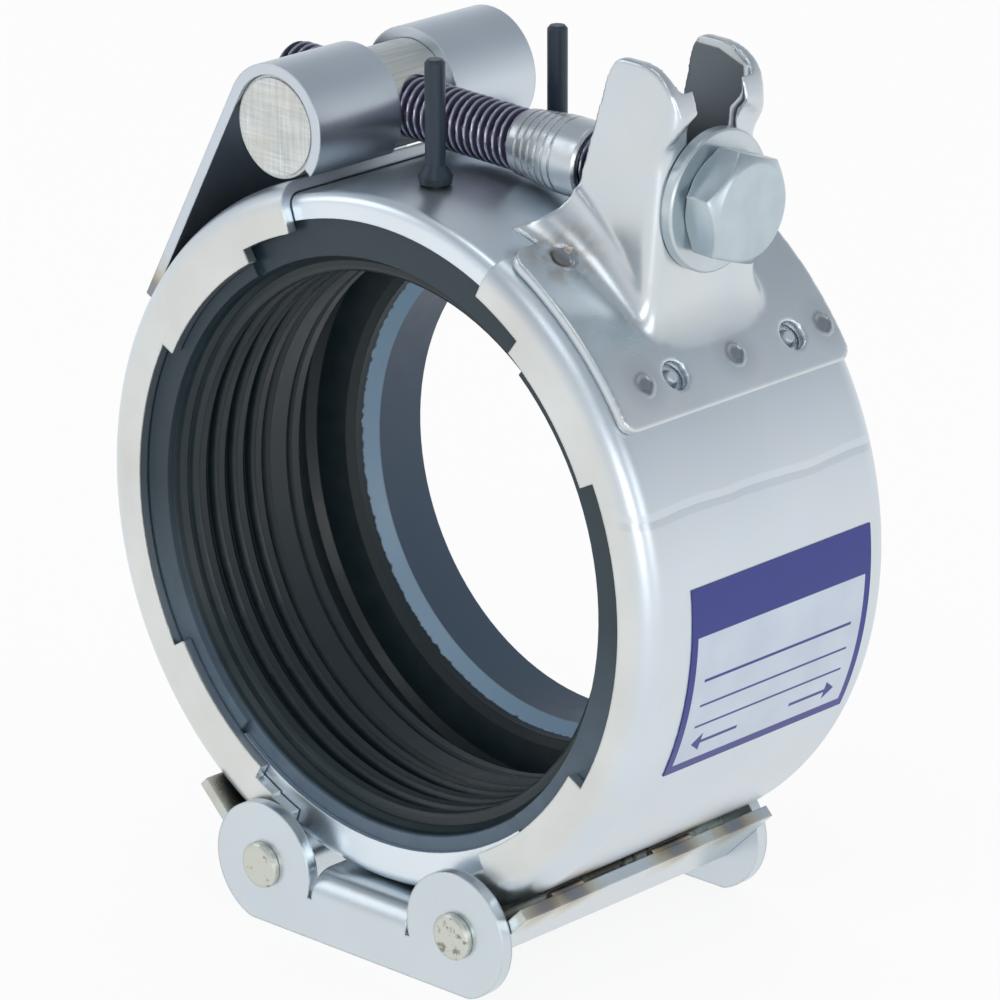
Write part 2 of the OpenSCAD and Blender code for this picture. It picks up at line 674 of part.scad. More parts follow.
// section of the link across its web, drawn in the Y-Z plane
module channel_section() {
    difference() {
        union() {
            translate([-ear_out, link_low]) square([2 * ear_out, web_top - link_bend - link_low]);
            translate([-(ear_out - link_bend), web_top - link_bend - 1])
                square([2 * (ear_out - link_bend), link_bend + 1]);
            for (s = [-1, 1]) translate([s * (ear_out - link_bend), web_top - link_bend])
                circle(link_bend);
        }
        translate([-ear_in, link_low - 1])
            square([2 * ear_in, web_top - link_bend - link_low + 1]);
        translate([-(ear_out - link_bend), web_top - link_bend - 2])
            square([2 * (ear_out - link_bend), link_bend + 2 - link_t]);
        for (s = [-1, 1]) translate([s * (ear_out - link_bend), web_top - link_bend])
            circle(link_bend - link_t);
    }
}

// riveted hinge pin with a head at each end
module hinge_pin(x) {
    color([0.80, 0.78, 0.73]) translate([x, 0, pin_z]) rotate([90, 0, 0]) {
        cylinder(h = 2 * ear_out + 1, r = pin_r, center = true);
        for (s = [0, 180]) rotate([s, 0, 0]) translate([0, 0, ear_out + seat]) {
            cylinder(h = head_h - 0.4, r = head_r);
            translate([0, 0, head_h - 0.4]) cylinder(h = 0.4, r1 = head_r, r2 = head_r - 0.5);
        }
    }
}

module hinge_pin_left() {
    hinge_pin(-pin_x);
}

module hinge_pin_right() {
    hinge_pin(pin_x);
}

// plain foil label on the wall of the right half
module type_label() {
    color([0.86, 0.88, 0.90])
        sweep(-label_low, label_high) translate([casing_r + 0.02, 2.1 - label_w / 2]) square([label_t, label_w]);
}

casing_left();
casing_right();
top_gap_plate();
bottom_gap_plate();
rubber_sleeve();
trunnion_strap();
trunnion_bar();
clamp_bolt();
retaining_collar();
flat_washer();
bolt_lug();
hinge_leaf_left();
hinge_leaf_right();
hinge_link();
hinge_pin_left();
hinge_pin_right();
type_label();
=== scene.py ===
import math
import bpy
import bmesh
import numpy as np
from mathutils import Matrix, Vector


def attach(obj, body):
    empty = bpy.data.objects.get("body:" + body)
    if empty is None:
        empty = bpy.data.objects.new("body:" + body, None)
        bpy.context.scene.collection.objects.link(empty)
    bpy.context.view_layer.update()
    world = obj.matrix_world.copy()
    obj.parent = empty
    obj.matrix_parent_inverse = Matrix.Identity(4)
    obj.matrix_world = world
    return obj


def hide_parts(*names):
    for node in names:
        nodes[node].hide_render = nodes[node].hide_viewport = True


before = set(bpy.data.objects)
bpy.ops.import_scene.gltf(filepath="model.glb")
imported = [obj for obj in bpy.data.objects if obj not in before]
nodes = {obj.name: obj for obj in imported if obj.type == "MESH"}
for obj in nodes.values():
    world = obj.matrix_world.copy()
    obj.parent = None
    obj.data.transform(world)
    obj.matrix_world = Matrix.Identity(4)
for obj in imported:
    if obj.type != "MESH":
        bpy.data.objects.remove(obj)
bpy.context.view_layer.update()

# Pressed casing halves:
# Two half rings of 1.8 mm stainless sheet, rolled over at both edges into flat flanges with
# punched tabs. The sheet keeps its satin mill finish and shows heat tints beside the welds.


MIX_A, MIX_B, MIX_RESULT = 6, 7, 2  # the colour sockets of a Mix node


class Paint:
    """One socket of a node tree. Plain arithmetic on it adds the Math nodes."""

    def __init__(self, tree, socket):
        self.tree, self.socket = tree, socket

    def make(self, kind, settings=None, sockets=None, out=0):
        """Adds any node: its settings first, then the values or links of its sockets."""
        node = self.tree.nodes.new(kind)
        for key, value in (settings or {}).items():
            if key == "stops":
                ramp = node.color_ramp
                while len(ramp.elements) < len(value):
                    ramp.elements.new(0.5)
                for element, (place, colour) in zip(ramp.elements, value):
                    element.position = place
                    element.color = (*colour, 1)
            else:
                setattr(node, key, value)
        for key, value in (sockets or {}).items():
            if isinstance(value, Paint):
                self.tree.links.new(value.socket, node.inputs[key])
            else:
                node.inputs[key].default_value = value
        return Paint(self.tree, node.outputs[out])

    def op(self, operation, *others, clamp=False):
        """One Math node, with this value first."""
        return self.make("ShaderNodeMath", {"operation": operation, "use_clamp": clamp},
                         dict(enumerate((self, *others))))

    def __add__(self, other): return self.op("ADD", other)
    def __radd__(self, other): return self.op("ADD", other)
    def __sub__(self, other): return self.op("SUBTRACT", other)
    def __mul__(self, other): return self.op("MULTIPLY", other)
    def __truediv__(self, other): return self.op("DIVIDE", other)

    def __rsub__(self, other):
        return self.make("ShaderNodeMath", {"operation": "SUBTRACT"}, {0: other, 1: self})

    def split(self):
        """Its x, y and z."""
        node = self.make("ShaderNodeSeparateXYZ", {}, {0: self}).socket.node
        return [Paint(self.tree, socket) for socket in node.outputs]

    def beside(self, other):
        """Distance from the axis at which these two coordinates are 0."""
        return (self * self + other * other).op("SQRT")

    def past(self, place, width):
        """0 before place, 1 after it, with a soft edge of that width."""
        return ((self - place) / width).op("ADD", 0.5, clamp=True)

    def within(self, low, high, width):
        """1 between two places, 0 outside them, with soft edges."""
        return self.past(low, width) * (1 - self.past(high, width))

    def near(self, place, width):
        """1 at place, falling to 0 at that distance on both sides."""
        return (1 - (self - place).op("ABSOLUTE") / width).op("MAXIMUM", 0.0)

    def colour(self, first, second, blend="MIX", amount=None):
        """Blends two colours by this mask, or by a fixed amount."""
        first, second = (c if isinstance(c, Paint) else (*c, 1) for c in (first, second))
        return self.make("ShaderNodeMix", {"data_type": "RGBA", "blend_type": blend},
                         {0: self if amount is None else amount, MIX_A: first, MIX_B: second},
                         out=MIX_RESULT)

    def noise(self, scale, detail=2.0, stretch=(1, 1, 1), rough=0.5):
        """Noise in object space, scale in patterns per metre, stretched per axis."""
        place = self.make("ShaderNodeMapping", {"vector_type": "POINT"},
                          {"Vector": self, "Scale": stretch})
        return self.make("ShaderNodeTexNoise", {},
                         {"Vector": place, "Scale": scale, "Detail": detail, "Roughness": rough})

    def far_from(self, point):
        """Distance to a point, in metres."""
        return self.make("ShaderNodeVectorMath", {"operation": "DISTANCE"},
                         {0: self, 1: point}, out=1)

    def spot(self, point, reach):
        """1 at a point, falling to 0 at that distance from it."""
        return (1 - self.far_from(point) / reach).op("MAXIMUM", 0.0)


def finish(name, metallic, roughness, coat=0.0):
    """New material: its shader, its place in object space, and that place split into x, y and z."""
    mat = bpy.data.materials.new(name)
    mat.use_nodes = True
    tree = mat.node_tree
    shader = tree.nodes["Principled BSDF"]
    shader.inputs["Metallic"].default_value = metallic
    shader.inputs["Roughness"].default_value = roughness
    shader.inputs["Coat Weight"].default_value = coat
    place = Paint(tree, tree.nodes.new("ShaderNodeTexCoord").outputs["Object"])
    return mat, shader, place, place.split()


def put(shader, socket, paint):
    """Lets a value drive one socket of the shader."""
    paint.tree.links.new(paint.socket, shader.inputs[socket])


def relief(shader, height, depth, soft_edge=0.0):
    """Bump of that depth in metres, over edges rounded by soft_edge."""
    sockets = {"Height": height, "Strength": 1.0, "Distance": depth}
    if soft_edge:
        sockets["Normal"] = height.make("ShaderNodeBevel", {"samples": 4}, {"Radius": soft_edge})
    put(shader, "Normal", height.make("ShaderNodeBump", {}, sockets))


# where the flat flanges begin: past this distance from mid width, inside this radius
flange_y, flange_r = 0.0272, 0.0555
# what welding heat leaves, from clean sheet over straw and brown to grey
heat_tones = [(0.0, (1, 1, 1)), (0.3, (0.96, 0.90, 0.78)), (0.55, (0.78, 0.66, 0.50)),
              (0.75, (0.52, 0.45, 0.42)), (0.95, (0.42, 0.43, 0.47))]


def steel(name, tone, rough, grain=(1, 1, 1), tints=(), edge=0.0004, straw=0.0, flange=0.0):
    """Satin stainless sheet: rolling grain, cloudy sheen, and heat tints round the given points.
    Straw is a faint yellow cast in patches, flange a creamier one on the flat flanges."""
    mat, shader, place, (x, y, z) = finish(name, 1.0, rough)
    cloud = place.noise(45, 3.0)
    lines = place.noise(1.0, 3.0, tuple(900 * g for g in grain), 0.6)
    base = cloud.colour([c * 0.92 for c in tone], [min(1, c * 1.06) for c in tone])
    base = (place.noise(120, 2.0).past(0.6, 0.5) * straw).colour(base, (0.78, 0.74, 0.62))
    if flange:
        flat = y.op("ABSOLUTE").past(flange_y, 0.0006) * (1 - x.beside(z).past(flange_r, 0.003))
        cream = place.noise(90, 4.0).colour((0.60, 0.58, 0.50), (0.86, 0.87, 0.83))
        base = (flat * flange).colour(base, cream)
    heat = None
    for point, reach in tints:
        ring = place.spot(point, reach)
        heat = ring if heat is None else heat.op("MAXIMUM", ring)
    if heat is not None:
        ragged = (place.noise(260, 3.0) - 0.5) * 0.35 * heat.past(0.02, 0.04)
        tint = heat.make("ShaderNodeValToRGB", {"stops": heat_tones},
                         {0: (heat + ragged).op("MAXIMUM", 0.0)})
        base = heat.colour(base, tint, "MULTIPLY", 1.0)
    put(shader, "Base Color", base)
    put(shader, "Roughness", rough + (cloud - 0.5) * 0.10 + (lines - 0.5) * 0.06)
    relief(shader, lines * 0.5 + place.noise(420, 2.0) * 0.3, 0.000006, edge)
    return mat, shader, place, (x, y, z)


def coat(mesh, mat):
    """Gives a mesh its one material."""
    mesh.materials.clear()
    mesh.materials.append(mat)


def dress(name, mat):
    """Gives a CAD node its finish."""
    coat(nodes[name].data, mat)


def on_ring(radius, degrees, y):
    """Point at that radius and angle round the pipe axis, in millimetres."""
    a = math.radians(degrees)
    return (radius * math.cos(a) / 1000, y / 1000, radius * math.sin(a) / 1000)


skin = 58  # outer radius of the casing, in millimetres
satin = (0.67, 0.735, 0.795)
round_grain = (0.06, 1.0, 0.06)
left_mat, *_ = steel(
    "casing_left_satin", satin, 0.36, round_grain, edge=0.0005, straw=0.25, flange=0.6,
    tints=[(on_ring(skin, 150, -20), 0.007), (on_ring(skin, 151, 20), 0.007),
           (on_ring(skin, 234, -17), 0.008), (on_ring(skin, 234, 8), 0.007)])
dress("casing_left", left_mat)

# the right half also has a shallow pressed-in line across it
right_mat, right_shader, place, (x, y, z) = steel(
    "casing_right_satin", satin, 0.36, round_grain, edge=0.0005, straw=0.2, flange=0.55,
    tints=[(on_ring(skin, 304, -17), 0.008), (on_ring(skin, 304, 8), 0.007)])
line_z = 0.0176
line = (z + (place.noise(60, 2.0) - 0.5) * 0.002).near(line_z, 0.0011)
dent = line * x.past(0.045, 0.004)
relief(right_shader, place.noise(1.0, 3.0, (54, 900, 54), 0.6) * 0.02 - dent, 0.00012, 0.0005)
dress("casing_right", right_mat)

# Gap plates:
# Thin pressed stainless plates that lie under both halves and bridge the gaps at the top and
# at the hinge. They are smoother than the casing and mirror what stands above them.
plate_mat, *_ = steel("gap_plate_bright", (0.78, 0.85, 0.91), 0.32, round_grain, edge=0.0003)
dress("top_gap_plate", plate_mat)
dress("bottom_gap_plate", plate_mat)

# Rubber sleeve:
# One moulding of black rubber: ribs that grip the fitting, a hollow between two seals, and a
# plain land for the pipe. Its ground faces look slate blue; two nipples stand on its top.
rubber_mat, shader, place, (x, y, z) = finish("sleeve_rubber", 0.0, 0.36)
shader.inputs["Specular IOR Level"].default_value = 0.4
front_y, front_r = -0.0244, 0.0445
chamfer_y, land_y, land_r, nipple_z = 0.0131, 0.0153, 0.0405, 0.0575
radius, turn = x.beside(z), z.op("ARCTAN2", x)
mottle = place.noise(300, 4.0)
base = mottle.colour((0.006, 0.014, 0.018), (0.015, 0.030, 0.038))
face = 1 - y.past(front_y, 0.0006)
# the front face is painted paler towards the bottom: painted light, as if its lower part caught
# more light
paler_low_painted_light = (1 - z.past(-0.020, 0.040)) * (0.5 + mottle)
ground = paler_low_painted_light.colour((0.020, 0.038, 0.050), (0.095, 0.140, 0.190))
base = (face * radius.past(front_r, 0.0008)).colour(base, ground)
wander = turn.make("ShaderNodeTexNoise", {"noise_dimensions": "1D"},
                   {"W": turn * 26.0, "Scale": 1.0, "Detail": 2.0})
ragged = y + (wander - 0.5) * 0.0009
chamfer = (ragged.past(chamfer_y, 0.0003) * y.within(0.012, land_y, 0.0003)
           * (1 - radius.past(0.0413, 0.0005)))
base = chamfer.colour(base, (0.26, 0.40, 0.54))
land = y.past(land_y, 0.0004) * (1 - radius.past(land_r, 0.0006))
base = land.colour(base, (0.050, 0.085, 0.135))
# the tops of the nipples are painted lighter: a painted highlight where light falls on them
base = z.past(nipple_z, 0.001).colour(base, (0.020, 0.034, 0.054))
put(shader, "Base Color", base)
put(shader, "Roughness", 0.26 + mottle * 0.20 + land * 0.1)
relief(shader, mottle + place.noise(1500, 2.0) * 0.4, 0.00003, 0.0003)
dress("rubber_sleeve", rubber_mat)

# Trunnion strap:
# A 1.8 mm strip bent round the cross bar and spot welded to the left half. Its sheared ends
# kept the straw and brown tint of the welding heat.
strap_mat, *_ = steel(
    "strap_satin", (0.62, 0.68, 0.74), 0.32, (0.3, 1.0, 0.3), edge=0.0004,
    tints=[(on_ring(skin + 1, 149, s * y0), 0.008) for s in (-1, 1) for y0 in (8, 16, 23)])
dress("trunnion_strap", strap_mat)

# Trunnion bar:
# Turned stainless bar, free to turn in the strap. Its faced ends show turning rings.
bar_at, bolt_tilt = Vector((-0.0227307, 0, 0.0624520)), math.radians(2.5)
bar_mat, shader, place, (x, y, z) = finish("bar_turned", 1.0, 0.3)
rings = ((x - bar_at.x).beside(z - bar_at.z) * 9000.0).op("SINE")
patch = place.noise(160, 3.0)
scratch = (place.noise(1.0, 2.0, (2600, 60, 160)) * 0.5
           + place.noise(1.0, 2.0, (160, 60, 2600)) * 0.5)
base = scratch.past(0.5, 0.3).colour((0.52, 0.56, 0.57), (0.76, 0.79, 0.79))
base = (patch.past(0.55, 0.3) * 0.5).colour(base, (0.66, 0.64, 0.55))
put(shader, "Base Color", base)
put(shader, "Roughness", 0.30 + patch * 0.2)
relief(shader, rings * 0.3 + scratch * 2.0, 0.00002, 0.0004)
dress("trunnion_bar", bar_mat)

# Clamp bolt:
# Stainless hexagon bolt with a fine thread under a dark purple-black coating. The coating has
# worn off the crests, and the head is bare bright steel with turned chamfers.
bolt_tail, head_at, head_high, head_af = 0.0195, 0.0695176, 0.0064, 0.016
crest_r, thread_deep, thread_pitch = 0.0049, 0.00085, 0.0015
head_turn = 12  # degrees that a corner of the hexagon stands off straight out


def along_bolt(at):
    """Turns Z of a mesh along the bolt and carries it to that distance from the bar."""
    u = Vector((math.cos(bolt_tilt), 0, -math.sin(bolt_tilt)))
    w = Vector((math.sin(bolt_tilt), 0, math.cos(bolt_tilt)))
    turn_to = Matrix((-w, Vector((0, 1, 0)), u)).transposed().to_4x4()
    return Matrix.Translation(bar_at + u * at) @ turn_to


def thread_tree(mat):
    """Threaded rod along Z: a fine cylinder whose radius follows the helix."""
    tree = bpy.data.node_groups.new("threaded_rod", "GeometryNodeTree")
    face = tree.interface
    face.new_socket("Geometry", in_out="INPUT", socket_type="NodeSocketGeometry")
    for name, value in (("Length", head_at + bolt_tail), ("Crest Radius", crest_r),
                        ("Depth", thread_deep), ("Pitch", thread_pitch)):
        face.new_socket(name, in_out="INPUT", socket_type="NodeSocketFloat").default_value = value
    face.new_socket("Geometry", in_out="OUTPUT", socket_type="NodeSocketGeometry")
    given = tree.nodes.new("NodeGroupInput")
    length, crest, depth, pitch = (Paint(tree, given.outputs[i]) for i in range(1, 5))
    rod = length.make("GeometryNodeMeshCylinder", {"fill_type": "NGON"},
                      {"Vertices": 56, "Side Segments": 640, "Radius": crest, "Depth": length})
    px, py, pz = rod.make("GeometryNodeInputPosition").split()
    around = py.op("ARCTAN2", px) / (2 * math.pi)
    phase = (pz / pitch - around).op("FRACT")
    valley = ((phase - 0.5).op("ABSOLUTE") * -2.6 + 1.15).op("MINIMUM", 1.0).op("MAXIMUM", 0.0)
    tip = (pz.op("ABSOLUTE") / (length * 0.5)).past(0.993, 0.012)
    shrink = 1 - (valley.op("MAXIMUM", tip) * depth) / crest
    spot = px.make("ShaderNodeCombineXYZ", {}, {0: px * shrink, 1: py * shrink, 2: pz})
    shaped = rod.make("GeometryNodeSetPosition", {}, {"Geometry": rod, "Position": spot})
    shaped = shaped.make("GeometryNodeRealizeInstances", {}, {0: shaped})
    shaped = shaped.make("GeometryNodeSetMaterial", {}, {"Geometry": shaped, "Material": mat})
    end = tree.nodes.new("NodeGroupOutput")
    tree.links.new(shaped.socket, end.inputs[0])
    return tree


def settle(obj):
    """Plain mesh of an object with its modifiers applied; the object goes."""
    bpy.context.view_layer.update()
    done = obj.evaluated_get(bpy.context.evaluated_depsgraph_get())
    mesh = bpy.data.meshes.new_from_object(done)
    bpy.data.objects.remove(obj)
    return mesh


def loose(name, mesh):
    """New object in the scene round a mesh."""
    obj = bpy.data.objects.new(name, mesh)
    bpy.context.scene.collection.objects.link(obj)
    return obj


def grow(name, tree, **sizes):
    """Runs a Geometry Nodes tree with the given inputs and returns the plain mesh."""
    obj = loose(name, bpy.data.meshes.new(name))
    mod = obj.modifiers.new("shape", "NODES")
    mod.node_group = tree
    for item in tree.interface.items_tree:
        key = item.name.replace(" ", "_").lower()
        if item.in_out == "INPUT" and key in sizes:
            mod[item.identifier] = sizes[key]
    return settle(obj)


def from_bolt(x, y, z):
    """Distance from the bolt's axis."""
    off = (z - bar_at.z) * math.cos(bolt_tilt) + (x - bar_at.x) * math.sin(bolt_tilt)
    return off.beside(y)


coated_mat, shader, place, xyz = finish("thread_coated", 0.85, 0.3)
worn = from_bolt(*xyz).past(0.00472, 0.00024) * (0.45 + place.noise(500, 2.0) * 0.8)
put(shader, "Base Color", worn.colour((0.050, 0.045, 0.080), (0.46, 0.48, 0.58)))
put(shader, "Roughness", 0.34 - worn * 0.08)
relief(shader, place.noise(2500, 2.0), 0.00002)

hex_mat, shader, place, _ = finish("bolt_head_bright", 1.0, 0.2)
smear = place.noise(220, 3.0)
put(shader, "Base Color", smear.colour((0.42, 0.50, 0.54), (0.60, 0.68, 0.73)))
put(shader, "Roughness", 0.22 + smear * 0.2)
relief(shader, place.noise(900, 3.0), 0.00002, 0.00035)

rod_mesh = grow("rod", thread_tree(coated_mat), length=head_at + bolt_tail)
rod_mesh.transform(along_bolt((head_at - bolt_tail) / 2))
coat(rod_mesh, coated_mat)


def lathe(profile, steps=96):
    """Closed solid round Z from (radius, height) pairs that start and end on the axis."""
    bm = bmesh.new()
    rings = []
    turns = [2 * math.pi * i / steps for i in range(steps)]
    for r, h in profile:
        if r < 1e-9:
            rings.append([bm.verts.new((0, 0, h))])
        else:
            rings.append([bm.verts.new((r * math.cos(a), r * math.sin(a), h)) for a in turns])
    for low, high in zip(rings, rings[1:]):
        for i in range(steps):
            j = (i + 1) % steps
            if len(low) == 1:
                bm.faces.new((low[0], high[j], high[i]))
            elif len(high) == 1:
                bm.faces.new((low[i], low[j], high[0]))
            else:
                bm.faces.new((low[i], low[j], high[j], high[i]))
    bmesh.ops.recalc_face_normals(bm, faces=bm.faces)
    return bm


def mesh_of(bm, name):
    """Plain mesh of a bmesh, which is freed."""
    mesh = bpy.data.meshes.new(name)
    bm.to_mesh(mesh)
    bm.free()
    return mesh


def carve(obj, tool, operation):
    """Adds a boolean with a helper object, which is removed later."""
    mod = obj.modifiers.new(operation, "BOOLEAN")
    mod.operation, mod.object, mod.solver = operation, tool, "EXACT"


corner = head_af / math.sqrt(3)
blank = bmesh.new()
turns = [math.radians(head_turn + 60 * i) for i in range(6)]
low = [blank.verts.new((corner * math.cos(a), corner * math.sin(a), 0)) for a in turns]
high = [blank.verts.new((v.co.x, v.co.y, head_high)) for v in low]
blank.faces.new(low[::-1])
blank.faces.new(high)
for i in range(6):
    blank.faces.new((low[i], low[(i + 1) % 6], high[(i + 1) % 6], high[i]))
head = loose("head", mesh_of(blank, "head"))
# washer face below, chamfered corners and a slightly sunk top
head_profile = [(0, -0.001), (0.0079, -0.001), (0.0079, 0.0), (0.0085, 0.0006), (0.0098, 0.0012),
                (0.0098, head_high - 0.0020), (0.0074, head_high - 0.00012),
                (0.0071, head_high), (0.0067, head_high - 0.0001), (0, head_high - 0.00012)]
turned = loose("turned", mesh_of(lathe(head_profile), "turned"))
carve(head, turned, "INTERSECT")
soft = head.modifiers.new("soft", "BEVEL")
soft.width, soft.segments = 0.00025, 2
soft.limit_method, soft.angle_limit = "ANGLE", math.radians(28)
head_mesh = settle(head)
bpy.data.objects.remove(turned)
head_mesh.transform(along_bolt(head_at))
coat(head_mesh, hex_mat)


def join(name, meshes):
    """One object from several meshes, each with its own material."""
    bm = bmesh.new()
    mats = []
    for mesh in meshes:
        start = len(bm.faces)
        bm.from_mesh(mesh)
        bm.faces.ensure_lookup_table()
        for face in bm.faces[start:]:
            face.material_index = len(mats)
        mats.append(mesh.materials[0])
    out = mesh_of(bm, name)
    for mat in mats:
        out.materials.append(mat)
    return loose(name, out)


bolt = join("clamp_bolt_threaded", [rod_mesh, head_mesh])
for poly in bolt.data.polygons:
    poly.use_smooth = True
bolt.data.set_sharp_from_angle(angle=math.radians(32))
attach(bolt, "bolt")
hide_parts("clamp_bolt")

# Retaining collar and washer:
# A turned collar with machined grooves is fixed on the bolt behind the lug and pushes the lug
# back when the bolt is undone. A flat washer of polished plate spreads the load on the lug.
collar_mat, shader, place, xyz = finish("collar_turned", 1.0, 0.24)
streak = place.noise(400, 3.0)
# darker where the collar's surface lies within 5.6 mm of the bolt's axis
darker_near_axis = (1 - from_bolt(*xyz).past(0.0056, 0.0008)) * 0.5
put(shader, "Base Color", (streak * 0.3 + darker_near_axis).colour((0.72, 0.77, 0.80), (0.36, 0.38, 0.40)))
put(shader, "Roughness", 0.2 + streak * 0.2)
relief(shader, streak, 0.00002, 0.0003)
dress("retaining_collar", collar_mat)

washer_mat, shader, place, _ = finish("washer_plate", 1.0, 0.22)
smear = place.noise(180, 3.0)
put(shader, "Base Color", smear.colour((0.48, 0.54, 0.57), (0.66, 0.72, 0.75)))
put(shader, "Roughness", 0.22 + smear * 0.2)
relief(shader, place.noise(700, 3.0), 0.00002, 0.00035)
dress("flat_washer", washer_mat)

# Bolt lug:
# One deep-drawn pressing of 1.9 mm stainless: a foot spot welded to the right half, a bearing
# wall with an open slot for the bolt, and two horns that lean in and step out above the washer.
casing_r, sheet, lug_w = skin / 1000, 0.0019, 0.0508
foot_low, foot_high, foot_gap = 30.4, 63.0, 0.00005  # degrees round the casing, and clearance
lug_face = Vector((0.0446228, 0, 0.0595113))
horn_foot, horn_top, horn_h, step_out = 0.013, 0.010, 0.0213, 0.0023
wall_back, flare_h, flare_rows, wall_rows = 0.024, 0.009, 15, 28
washer_room, washer_rise = 0.0112, 0.0023
# the wall is built upright round the bolt: the pipe axis as seen from there
cos_tilt, sin_tilt = math.cos(bolt_tilt), math.sin(bolt_tilt)
axis_x = -(lug_face.x * cos_tilt - lug_face.z * sin_tilt)
axis_z = -(lug_face.x * sin_tilt + lug_face.z * cos_tilt)


def casing_top(x, r):
    """Height of a round of that radius above x."""
    return axis_z + np.sqrt(np.maximum(1e-6, r * r - (x - axis_x) ** 2))


def smooth(v):
    """Soft step from 0 to 1."""
    v = np.clip(v, 0, 1)
    return v * v * (3 - 2 * v)


def plan(width, inset, bend):
    """Plan of the drawn wall: places, outward normals and how far its foot sweeps out."""
    b = bend - inset
    side, arc = np.linspace(0, 1, 16), np.radians(np.linspace(-90, 90, 25))
    flat = np.linspace(-1, 1, 17)[1:-1]
    spots = []
    for t, out in zip(side[:-1], np.interp(side[:-1], [0, 0.6, 1], [7.5, 4.6, 2.0])):
        spots.append((-wall_back + (wall_back - bend) * t, inset - width, 0.0, -1.0, out))
    for a in arc[:13]:
        c, s = math.cos(a), math.sin(a)
        spots.append((-bend + b * c, bend - width + b * s, c, s, 1.9))
    for t in flat:
        spots.append((-inset, (width - bend) * t, 1.0, 0.0, 1.9 + 2.0 * math.sqrt(1 - t * t)))
    for a in arc[12:]:
        c, s = math.cos(a), math.sin(a)
        spots.append((-bend + b * c, width - bend + b * s, c, s, 2.2))
    for t in side[1:]:
        spots.append((-bend - (wall_back - bend) * t, width - inset, 0.0, 1.0, 2.2 + 4.0 * t))
    px, py, nx, ny, sweep_mm = np.array(spots).T
    return px, py, nx, ny, sweep_mm / 1000


foot_z = float(casing_top(0.0, casing_r))
levels = list(np.linspace(0, 1, flare_rows)) + [None] * wall_rows
heights = np.linspace(foot_z + flare_h, horn_h + 0.0015, wall_rows + 1)[1:]
# the outer skin, then the inner one, from the flared foot up to the tops of the horns
skins = []
for inset in (0.0, sheet):
    rows = []
    lies_on = casing_r + (sheet * 0.93 if inset == 0.0 else 0.0001)
    for k, level in enumerate(levels):
        guess = foot_z + level * flare_h if level is not None else heights[k - flare_rows]
        width = horn_foot + (horn_top - horn_foot) * (guess - foot_z) / (horn_h - foot_z)
        # the bend is sharp at the foot and round at the horns
        bend = float(np.interp(guess, [foot_z, -0.010, 0.004, horn_h],
                               [0.0023, 0.0025, 0.0028, 0.0032]))
        px, py, nx, ny, sweep = plan(width, inset, bend)
        turn = (1.0 if level is None else level) * math.pi / 2
        out, high = sweep * (1 - math.sin(turn)), (0.003 + 0.8 * sweep) * (1 - math.cos(turn))
        qx, qy = px + nx * out, py + ny * out
        qz = casing_top(qx, lies_on) + high
        if level is None:
            qz = np.maximum(qz + (k - flare_rows + 1) * 1e-4, guess)
        # the horns step out round the washer, with room for it to rise
        ring = np.hypot(qy, np.maximum(qz - washer_rise, 0)) - washer_room
        step = step_out * smooth(ring / 0.0030) * smooth((qz - 0.003) / 0.005)
        rows.append(np.stack([qx + np.where(qx > -bend - 0.0001, step, 0), qy, qz], 1))
    skins.append(np.array(rows))
nk, nj = skins[0].shape[:2]
bm = bmesh.new()
ids = [[[bm.verts.new(skin[k, j]) for j in range(nj)] for k in range(nk)] for skin in skins]
for k in range(nk - 1):
    for j in range(nj - 1):
        bm.faces.new((ids[0][k][j], ids[0][k][j + 1], ids[0][k + 1][j + 1], ids[0][k + 1][j]))
        bm.faces.new((ids[1][k][j], ids[1][k + 1][j], ids[1][k + 1][j + 1], ids[1][k][j + 1]))
for j in range(nj - 1):
    bm.faces.new((ids[0][0][j], ids[1][0][j], ids[1][0][j + 1], ids[0][0][j + 1]))
    bm.faces.new((ids[0][-1][j], ids[0][-1][j + 1], ids[1][-1][j + 1], ids[1][-1][j]))
for k in range(nk - 1):
    bm.faces.new((ids[0][k][0], ids[0][k + 1][0], ids[1][k + 1][0], ids[1][k][0]))
    bm.faces.new((ids[0][k][-1], ids[1][k][-1], ids[1][k + 1][-1], ids[0][k + 1][-1]))
bmesh.ops.recalc_face_normals(bm, faces=bm.faces)
wall = loose("wall", mesh_of(bm, "wall"))


def prism(name, outline, low, high, place):
    """Solid from a flat outline, between two places along the axis across it."""
    bm = bmesh.new()
    a, b = ([bm.verts.new(place(u, v, end)) for u, v in outline] for end in (low, high))
    bm.faces.new(a)
    bm.faces.new(b[::-1])
    for i in range(len(a)):
        j = (i + 1) % len(a)
        bm.faces.new((a[i], b[i], b[j], a[j]))
    bmesh.ops.recalc_face_normals(bm, faces=bm.faces)
    return loose(name, mesh_of(bm, name))


def bow(a, b, c, steps):
    """Curve from a to c that b pulls towards itself."""
    t = np.linspace(0, 1, steps + 1)[:, None]
    a, b, c = (np.array(point) for point in (a, b, c))
    return (a * (1 - t) ** 2 + b * 2 * t * (1 - t) + c * t * t).tolist()


